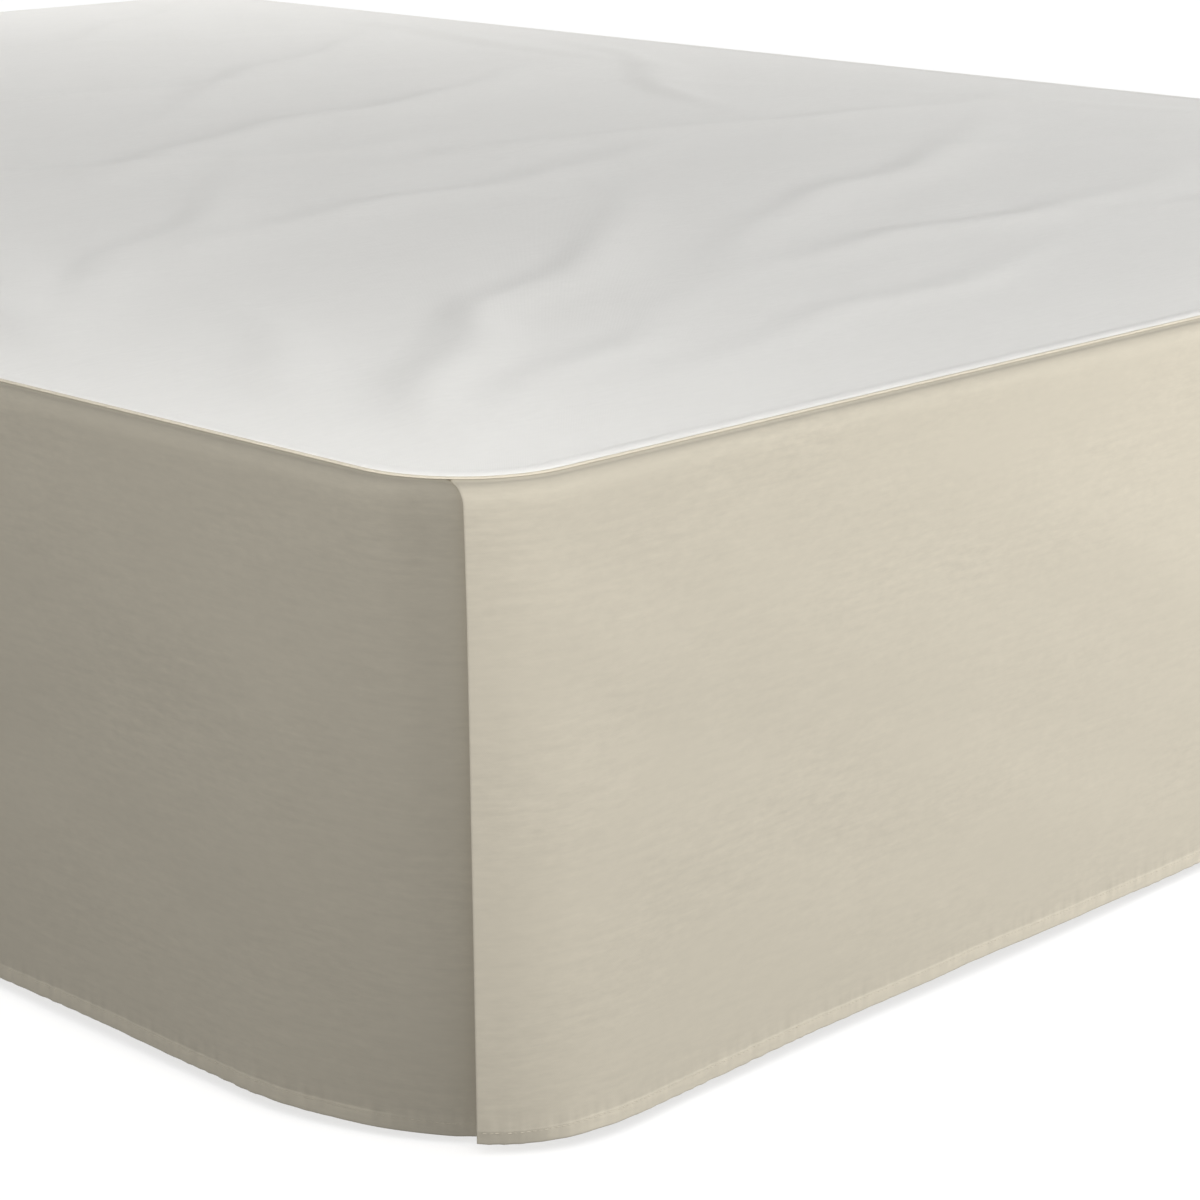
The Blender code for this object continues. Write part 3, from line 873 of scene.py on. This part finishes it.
def sew(name, tree, line, material, seed):
    """One piece with a row of stitches along a line of places and outward directions."""
    places, facings = line
    mesh = bpy.data.meshes.new(name + "_path")
    mesh.from_pydata([tuple(place) for place in places], [(i, i + 1) for i in range(len(places) - 1)], [])
    outwards = mesh.attributes.new("outwards", "FLOAT_VECTOR", "POINT")
    for item, facing in zip(outwards.data, facings):
        item.vector = facing
    path = new_object(name + "_path", mesh)
    rows = path.modifiers.new("stitches", "NODES")
    rows.node_group = tree
    set_input(rows, "Material", material)
    set_input(rows, "Seed", seed)
    graph = bpy.context.evaluated_depsgraph_get()
    stitches = bpy.data.meshes.new_from_object(path.evaluated_get(graph), depsgraph=graph)
    path.modifiers.remove(rows)
    bpy.data.objects.remove(path)
    return finish_piece(new_object(name, stitches))


# -------- the deck

# The deck's rows and columns: an even step, and distances in from its edge, in metres
DECK_STEP = 0.0115
DECK_RIM = (
    0.0, 0.00006, 0.0002, 0.0005, 0.0009, 0.0014, 0.0018, 0.0021, 0.0024, 0.0027, 0.0030, 0.0034, 0.0040,
    0.0050, 0.0070, 0.0090, 0.0105, 0.0120, 0.0135, 0.0170, 0.0220, 0.0300,
)
# In from its edge the deck lies flat this far, and then wrinkles more and more over a length
DECK_FLAT = 0.012
DECK_EASE = 0.11
# The seam allowance lies under the deck: how far from the edge it starts, and its soft steps
ALLOWANCE_RISE = 0.0006
ALLOWANCE_START = 0.0034
ALLOWANCE_STEP = 0.0022
ALLOWANCE_FADE = 0.003
# The seam's ridge along the deck's edge, ending before the head, and the narrow groove behind it
RIDGE_WIDTH = 0.0020
RIDGE_STEP = 0.0004
RIDGE_FADE = 0.02
GROOVE_BACK = 0.0027
RIDGE_GROOVE = 0.0007
RIDGE_GROOVE_WIDTH = 0.0005
# Low wrinkles of the laid cloth: (x, y, half length, half width, turn in degrees, height)
DECK_WRINKLES = (
    (-560, -800, 200, 13, 47, 2.6), (-500, -840, 160, 12, 30, 1.9), (-620, -720, 170, 12, 63, 2),
    (-360, -660, 340, 17, 33, 3), (-220, -840, 220, 14, 14, 2.1), (-600, -440, 280, 15, 68, 2.8),
    (-420, -360, 300, 17, 40, 2.4), (20, -700, 300, 16, 6, 2.6), (140, -520, 340, 18, 22, 3),
    (340, -800, 240, 14, -16, 2.4), (560, -820, 200, 13, -44, 2.6), (500, -560, 280, 16, -30, 2.5),
    (620, -300, 260, 14, -70, 2.4), (-140, -340, 380, 18, 12, 2.8), (300, -240, 340, 17, -8, 3.6),
    (-560, -60, 300, 15, 80, 3.1), (-300, -40, 360, 18, -14, 3.6), (100, 40, 420, 19, 18, 4.5),
    (520, 60, 280, 16, 58, 3.6), (-440, 280, 320, 17, 28, 4.2), (-60, 340, 400, 18, -10, 4.2),
    (340, 380, 340, 17, 32, 4.3), (620, 440, 260, 14, 84, 3.3), (-600, 600, 260, 14, -72, 3.6),
    (-280, 660, 340, 17, 16, 3.9), (140, 720, 340, 16, -22, 3.9), (480, 800, 240, 14, 38, 3.6),
    (-540, 840, 220, 13, -36, 3.6),
)
# How a wrinkle's line wanders: (size, rate along x, rate along y); and how steep one side of it is
WRINKLE_BENDS = ((0.014, 11.0, 5.0), (0.006, 31.0, 0.0))
WRINKLE_LEAN = 0.35
# Broad lie of the cloth: (waves a metre across, waves a metre along, start, height)
DECK_WAVES = (
    (1.7, 0.9, 0.4, 0.6), (-1.1, 2.1, 1.9, 0.5), (3.3, 1.3, 0.7, 0.3), (1.2, -3.9, 2.6, 0.3),
)


def deck_relief(x, y, back):
    """Rise of the deck's cloth: wrinkles inside, and the seam allowance under it near its edge."""
    total = creases(DECK_WRINKLES, x, y, 2.5, WRINKLE_BENDS, WRINKLE_LEAN)
    for across, along, start, height in DECK_WAVES:
        total += MM * height * (1.0 + sin(2 * pi * (across * x + along * y) + start))
    total *= ease((back - DECK_FLAT) / DECK_EASE)
    allowance = ease((back - ALLOWANCE_START) / ALLOWANCE_STEP)
    allowance *= 1.0 - ease((back - SEAM_ALLOWANCE) / ALLOWANCE_FADE)
    return total + ALLOWANCE_RISE * allowance


def deck_thickness(back):
    """Thickness of the deck's cloth: round at its edge, and pressed thin in the seam's groove."""
    full = CLOTH
    if back < CLOTH:
        full = CLOTH * sqrt(1.0 - (1.0 - back / CLOTH) ** 2)
    groove = RIDGE_GROOVE * bump_at(back - GROOVE_BACK, RIDGE_GROOVE_WIDTH)
    return max(THINNEST * CLOTH, full - groove)


def deck_stops(half):
    """Stops across half the deck: even ones inside, close ones near its edge."""
    inner = even_steps(0.0, half - DECK_RIM[-1], DECK_STEP)
    positive = inner + [half - back for back in reversed(DECK_RIM)][1:]
    return [-stop for stop in reversed(positive[1:])] + positive


def rounded_place(x, y, half_width, half_length, radius):
    """Moves a point of the rectangle into the same rectangle with round corners."""
    a = (abs(x) - (half_width - radius)) / radius
    b = (abs(y) - (half_length - radius)) / radius
    if a <= 0 or b <= 0:
        return x, y
    far = radius * max(a, b)
    angle = pi / 4 * (b / a if a >= b else 2.0 - a / b)
    far_x = half_width - radius + far * cos(angle)
    far_y = half_length - radius + far * sin(angle)
    return copysign(far_x, x), copysign(far_y, y)


def make_deck(material):
    """The flat deck, a sheet with a soft edge, laid on the box spring."""
    half_width = BED_WIDTH / 2 - DECK_INSET
    half_length = BED_LENGTH / 2 - DECK_INSET
    radius = CORNER_RADIUS - DECK_INSET
    work = bmesh.new()
    grid, thin, ridge = [], [], []
    for y in deck_stops(half_length):
        sewn = 1.0 - ease((y - (half_length - radius)) / RIDGE_FADE)
        grid.append([])
        for x in deck_stops(half_width):
            across, along = rounded_place(x, y, half_width, half_length, radius)
            back = min(half_width - abs(x), half_length - abs(y))
            thickness = deck_thickness(back)
            top = DECK_BASE + thickness + deck_relief(across, along, back)
            grid[-1].append(work.verts.new((across, along, top)))
            thin.append(thickness / CLOTH)
            ridge.append(sewn * (1.0 - ease((back - RIDGE_WIDTH) / RIDGE_STEP)))
    skin(work, grid, lambda r, c: grid[r][c].co.xy, ACROSS_FIRST)
    piece = object_from(work, "deck_sheet")
    mark(piece, "ridge", ridge)
    thicken(piece, CLOTH, thin)
    return finish_piece(piece, material, "deck")


def deck_stitch_line():
    """The path of the stitches along the deck's plain hem at the head, like a drop's."""
    half = BED_WIDTH / 2 - CORNER_RADIUS
    y = BED_LENGTH / 2 - DECK_INSET - STITCH_RISE
    top = DECK_BASE + CLOTH
    stops = even_steps(-half, half, DECK_LINE_STEP)
    places = [Vector((x, y, top + deck_relief(x, y, STITCH_RISE))) for x in stops]
    return places, [Vector((0.0, 0.0, 1.0))] * len(places)


# -------- the box spring

# The cover's section from its top inwards edge to its underside: (inset, height below the top)
COVER_SECTION = (
    (100, 0), (30, 0), (22, 0.4), (15, 2), (9.5, 5), (6, 9.5), (4.2, 15), (3.8, 19), (3.4, 24), (4, 40),
    (5.6, 70), (6.4, 110), (6, 150), (4.4, 185), (3.4, 204), (3.8, 209.6), (4.2, 213.6), (6, 219.1),
    (9.5, 223.6), (15, 226.6), (22, 228.2), (30, 228.6), (100, 228.6),
)
# The section's row on which the cover's length round is measured, and its small swings in and out
MEASURED_ROW = 8
COVER_SLACK = 0.0007
PIPING_INSET = 0.0042
PIPING_RADIUS = 0.0032
PIPING_DROPS = (0.0215, 0.2071)
PIPING_SIDES = 10
OUTLINE_STEP = 0.020
CORNER_STEPS = 14


def rounded_ring(inset):
    """The box spring's outline this far in, anticlockwise, as (x, y, direction out)."""
    half_width = BED_WIDTH / 2 - BOX_INSET - inset
    half_length = (BED_LENGTH - BOX_INSET) / 2 - inset
    radius = BOX_CORNER - inset
    ring = []
    for quarter, (side_x, side_y) in enumerate(((1, 1), (-1, 1), (-1, -1), (1, -1))):
        centre_x = side_x * (half_width - radius)
        centre_y = side_y * (half_length - radius) + BOX_INSET / 2
        for step in range(CORNER_STEPS + 1):
            angle = pi / 2 * (quarter + step / CORNER_STEPS)
            out = (cos(angle), sin(angle))
            ring.append((centre_x + radius * out[0], centre_y + radius * out[1], out))
        length = 2 * ((half_length if quarter % 2 else half_width) - radius)
        x, y, out = ring[-1]
        for stop in even_steps(0.0, length, OUTLINE_STEP)[1:-1]:
            ring.append((x - out[1] * stop, y + out[0] * stop, out))
    return ring


def wrap(work, section, slack=0.0):
    """Rings of corners round the base, for each (inset, height below its top) of a section."""
    rings = []
    for inset, drop in section:
        waist = slack * sin(pi * drop / BOX_HEIGHT)
        rings.append([])
        for x, y, out in rounded_ring(inset):
            drawn = waist * sin(7.0 * x + 4.0 * y)
            rings[-1].append(work.verts.new((x - out[0] * drawn, y - out[1] * drawn, BOX_TOP - drop)))
    return rings


def make_box_cover(material):
    """The cover over the base: crisp along its piping, drawn in a little between."""
    work = bmesh.new()
    rings = wrap(work, [(MM * inset, MM * drop) for inset, drop in COVER_SECTION], COVER_SLACK)
    measured = rings[MEASURED_ROW]
    run = lengths_along([corner.co for corner in measured + measured[:1]])
    fall = lengths_along([ring[0].co for ring in rings])
    skin(work, rings, lambda r, c: (run[c], fall[r]), loop_columns=True)
    uv = work.loops.layers.uv["cloth"]
    for ring in (rings[0], list(reversed(rings[-1]))):
        for loop in work.faces.new(ring).loops:
            loop[uv].uv = loop.vert.co.xy
    piece = object_from(work, "box_spring_cover")
    return finish_piece(piece, material, "box_spring")


def make_piping(material):
    """Two rounds of covered piping, along the top and the bottom edge of the box spring."""
    work = bmesh.new()
    girth = 2 * pi * PIPING_RADIUS / PIPING_SIDES
    turns = [2 * pi * side / PIPING_SIDES for side in range(PIPING_SIDES)]
    round_section = [(PIPING_RADIUS * cos(turn), PIPING_RADIUS * sin(turn)) for turn in turns]
    for drop in PIPING_DROPS:
        tubes = list(zip(*wrap(work, [(PIPING_INSET - out, drop - up) for out, up in round_section])))
        run = lengths_along([tube[0].co for tube in tubes + tubes[:1]])
        skin(work, tubes, lambda r, c: (run[r], c * girth), loop_rows=True, loop_columns=True)
    bmesh.ops.recalc_face_normals(work, faces=work.faces)
    return finish_piece(object_from(work, "box_spring_piping"), material)


# -------- stage, lights and camera

FLOOR_HALF = 40.0
# The lamps: (name, place, aimed at, width and depth, power, what it lights)
LAMPS = (
    ("front_corner", (-1.6, -1.2, 1.0), (-0.75, -1.0, 0.32), (0.4, 0.4), 4.6, "foot"),
    ("low_corner", (-1.9, -1.6, 0.7), (-0.72, -1.0, 0.25), (0.5, 0.3), 3.6, "foot"),
    ("low_left", (-1.3, -2.5, 0.5), (-0.5, -1.0, 0.25), (0.8, 0.25), 5.3, "foot"),
    ("low_front", (0.3, -2.0, 0.6), (0.1, -1.0, 0.25), (1.4, 0.2), 9.5, "foot"),
    ("front_right", (1.5, -2.6, 0.9), (0.2, -1.0, 0.2), (1.0, 0.8), 12.4, "foot"),
    ("deck_back", (0.5, 1.9, 1.5), (-0.1, 0.3, 0.36), (1.2, 0.8), 18.0, "deck"),
    ("head", (0.8, 3.4, 1.8), (0.0, 1.0, 0.2), (1.6, 1.6), 30.0, "others"),
)
# The same on the left and the right: (name, place on the right, aimed at, width and depth, power)
SIDE_LAMPS = (
    ("strip", (1.3, -0.5, 1.0), (0.76, -0.5, 0.3), (2.2, 0.25), 2.4),
    ("low_corner", (1.6, -1.6, 0.65), (0.76, -0.95, 0.25), (0.5, 0.3), 2.7),
    ("low_strip", (1.5, -0.6, 0.6), (0.76, -0.6, 0.25), (1.6, 0.2), 0.4),
    ("head_strip", (1.6, 1.0, 0.9), (0.76, 0.85, 0.22), (1.4, 0.25), 3.0),
)
# Wide even lights: (name, direction it comes from, power, spread in degrees, what it lights, shadows)
SKIES = (
    ("deck_sky", (0.35, 0.55, 1.0), 0.08, 40, "deck", True),
    ("base_sky", (-0.55, -0.75, 1.0), 0.95, 50, "others", True),
    ("floor_sky", (-0.25, -0.35, 1.0), 0.20, 60, "floor", True),
    ("floor_fill", (0.0, 0.001, 1.0), 0.71, 5, "floor", False),
)
ROOM_POWER = 0.20


def make_floor():
    """A wide pale floor, which is stage and not part of the object."""
    work = bmesh.new()
    corners = ((-1, -1), (1, -1), (1, 1), (-1, 1))
    work.faces.new([work.verts.new((x * FLOOR_HALF, y * FLOOR_HALF, 0.0)) for x, y in corners])
    floor = object_from(work, "floor")
    material, tree, shader = new_material("pale_floor", Roughness=0.9, Specular_IOR_Level=0.1)
    shade = calc(tree, "MULTIPLY_ADD", object_noise(tree, 0.6, 2.0), 0.01, 0.945)
    grey = add_node(tree, "ShaderNodeCombineXYZ", {"X": shade, "Y": shade, "Z": shade})
    paint(tree, shader, grey.outputs["Vector"])
    floor.data.materials.append(material)
    floor.visible_diffuse = False
    return floor


def add_light(name, light, place, target, receivers):
    """Puts a light in its place, aimed, lighting only its own group of pieces."""
    thing = new_object(name, light)
    thing.location = place
    aim = Vector(target) - Vector(place)
    thing.rotation_euler = aim.to_track_quat("-Z", "Y").to_euler()
    thing.visible_camera = False
    thing.light_linking.receiver_collection = receivers


def light_groups(foot, sides, deck, floor):
    """Groups of what lamps light: a drop with the deck, the deck, the floor, or all the others."""
    lit = {
        "foot": foot + deck,
        "sides": sides + deck,
        "deck": deck,
        "floor": [floor],
        "others": foot + sides + deck + [floor],
    }
    groups = {}
    for name, pieces in lit.items():
        groups[name] = bpy.data.collections.new("lit_" + name)
        for piece in pieces:
            groups[name].objects.link(piece)
    for item in groups["others"].collection_objects:
        item.light_linking.link_state = "EXCLUDE"
    return groups


def light_room():
    """A dim white room, seen by the camera as plain white."""
    world = bpy.data.worlds.new("studio")
    world.use_nodes = True
    tree = world.node_tree
    tree.nodes.clear()
    seen = add_node(tree, "ShaderNodeLightPath").outputs["Is Camera Ray"]
    room, plain = (
        add_node(tree, "ShaderNodeBackground", {"Color": WHITE, "Strength": power}).outputs[0]
        for power in (ROOM_POWER, 1.0)
    )
    mixed = add_node(tree, "ShaderNodeMixShader", {0: seen, 1: room, 2: plain})
    add_node(tree, "ShaderNodeOutputWorld", {"Surface": mixed.outputs[0]})
    bpy.context.scene.world = world


def light_studio(groups):
    """Soft lamps at the foot and the sides, wide even lights from above, and a dim room."""
    lamps = list(LAMPS)
    for name, (x, y, z), (to_x, to_y, to_z), size, power in SIDE_LAMPS:
        for side, way in (("left_", -1), ("right_", 1)):
            place, target = (way * x, y, z), (way * to_x, to_y, to_z)
            lamps.append((side + name, place, target, size, power, "sides"))
    for name, place, target, (width, depth), power, lit in lamps:
        lamp = bpy.data.lights.new(name, "AREA")
        lamp.shape = "RECTANGLE"
        lamp.size, lamp.size_y = width, depth
        lamp.energy = power
        add_light(name, lamp, place, target, groups[lit])
    for name, place, power, spread, lit, shadows in SKIES:
        sky = bpy.data.lights.new(name, "SUN")
        sky.energy = power * pi
        sky.angle = radians(spread)
        sky.use_shadow = shadows
        add_light(name, sky, place, (0.0, 0.0, 0.0), groups[lit])
    light_room()


def aim_camera():
    lens = bpy.data.cameras.new("camera")
    lens.sensor_width = SENSOR
    lens.lens = CAMERA_LENS
    lens.clip_start = 0.05
    lens.clip_end = 200.0
    camera = new_object("camera", lens)
    camera.matrix_world = (
        Matrix.Translation(CAMERA_PLACE)
        @ Matrix.Rotation(CAMERA_HEADING - pi / 2, 4, "Z")
        @ Matrix.Rotation(pi / 2 - CAMERA_DROP, 4, "X")
        @ Matrix.Rotation(CAMERA_ROLL, 4, "Z")
    )
    bpy.context.scene.camera = camera


# -------- all together


def dress_frame(grain):
    """Powder coat on the steel frame, and plastic on its glides."""
    steel = grained(
        "powder_coated_steel", grain, STEEL, size=900.0, roughness=0.46, relief=0.00012, metallic=0.25
    )
    plastic = grained("moulded_plastic", grain, PLASTIC, size=1600.0, roughness=0.58, relief=0.00006)
    for name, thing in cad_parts.items():
        if name.startswith("glide_"):
            finish = plastic
        elif name.startswith("leg_") or "rail" in name:
            finish = steel
        else:
            continue
        for place in thing.material_slots:
            place.material = finish


def declare_cloth(drops, sheets):
    """Works out each drop's flat length with its hem turnings, and keeps nothing of it."""
    for drop, sheet in zip(drops, sheets):
        drop.length() + 2 * TURNING


def build():
    weave = new_finish("woven_cloth", woven_cloth, WEAVE_INPUTS)
    grain = new_finish("fine_grain", fine_grain, GRAIN_INPUTS)
    cloth, white, ticking = skirt_cloth(weave), deck_cloth(weave), base_cover_cloth(weave)
    beige_thread = thread("beige_thread", BEIGE_THREAD)
    white_thread = thread("white_thread", OFF_WHITE)
    drops = make_drops()
    sheets = [drop.sheet(cloth) for drop in drops]
    tree = stitch_tree()
    sewing = {}
    for seed, drop in enumerate(drops, start=3):
        line = drop.stitch_line()
        sewing[drop.name] = sew(drop.name + "_stitches", tree, line, beige_thread, seed)
    sewing["deck"] = sew("deck_stitches", tree, deck_stitch_line(), white_thread, 9)
    deck = make_deck(white)
    cover = make_box_cover(ticking)
    make_piping(ticking)
    dress_frame(grain)
    declare_cloth(drops, sheets)
    foot, left, right = ([sheet, sewing[drop.name]] for drop, sheet in zip(drops, sheets))
    light_studio(light_groups(foot, left + right, [deck, sewing["deck"]], make_floor()))
    aim_camera()
    bpy.context.scene.view_settings.view_transform = "Standard"


build()
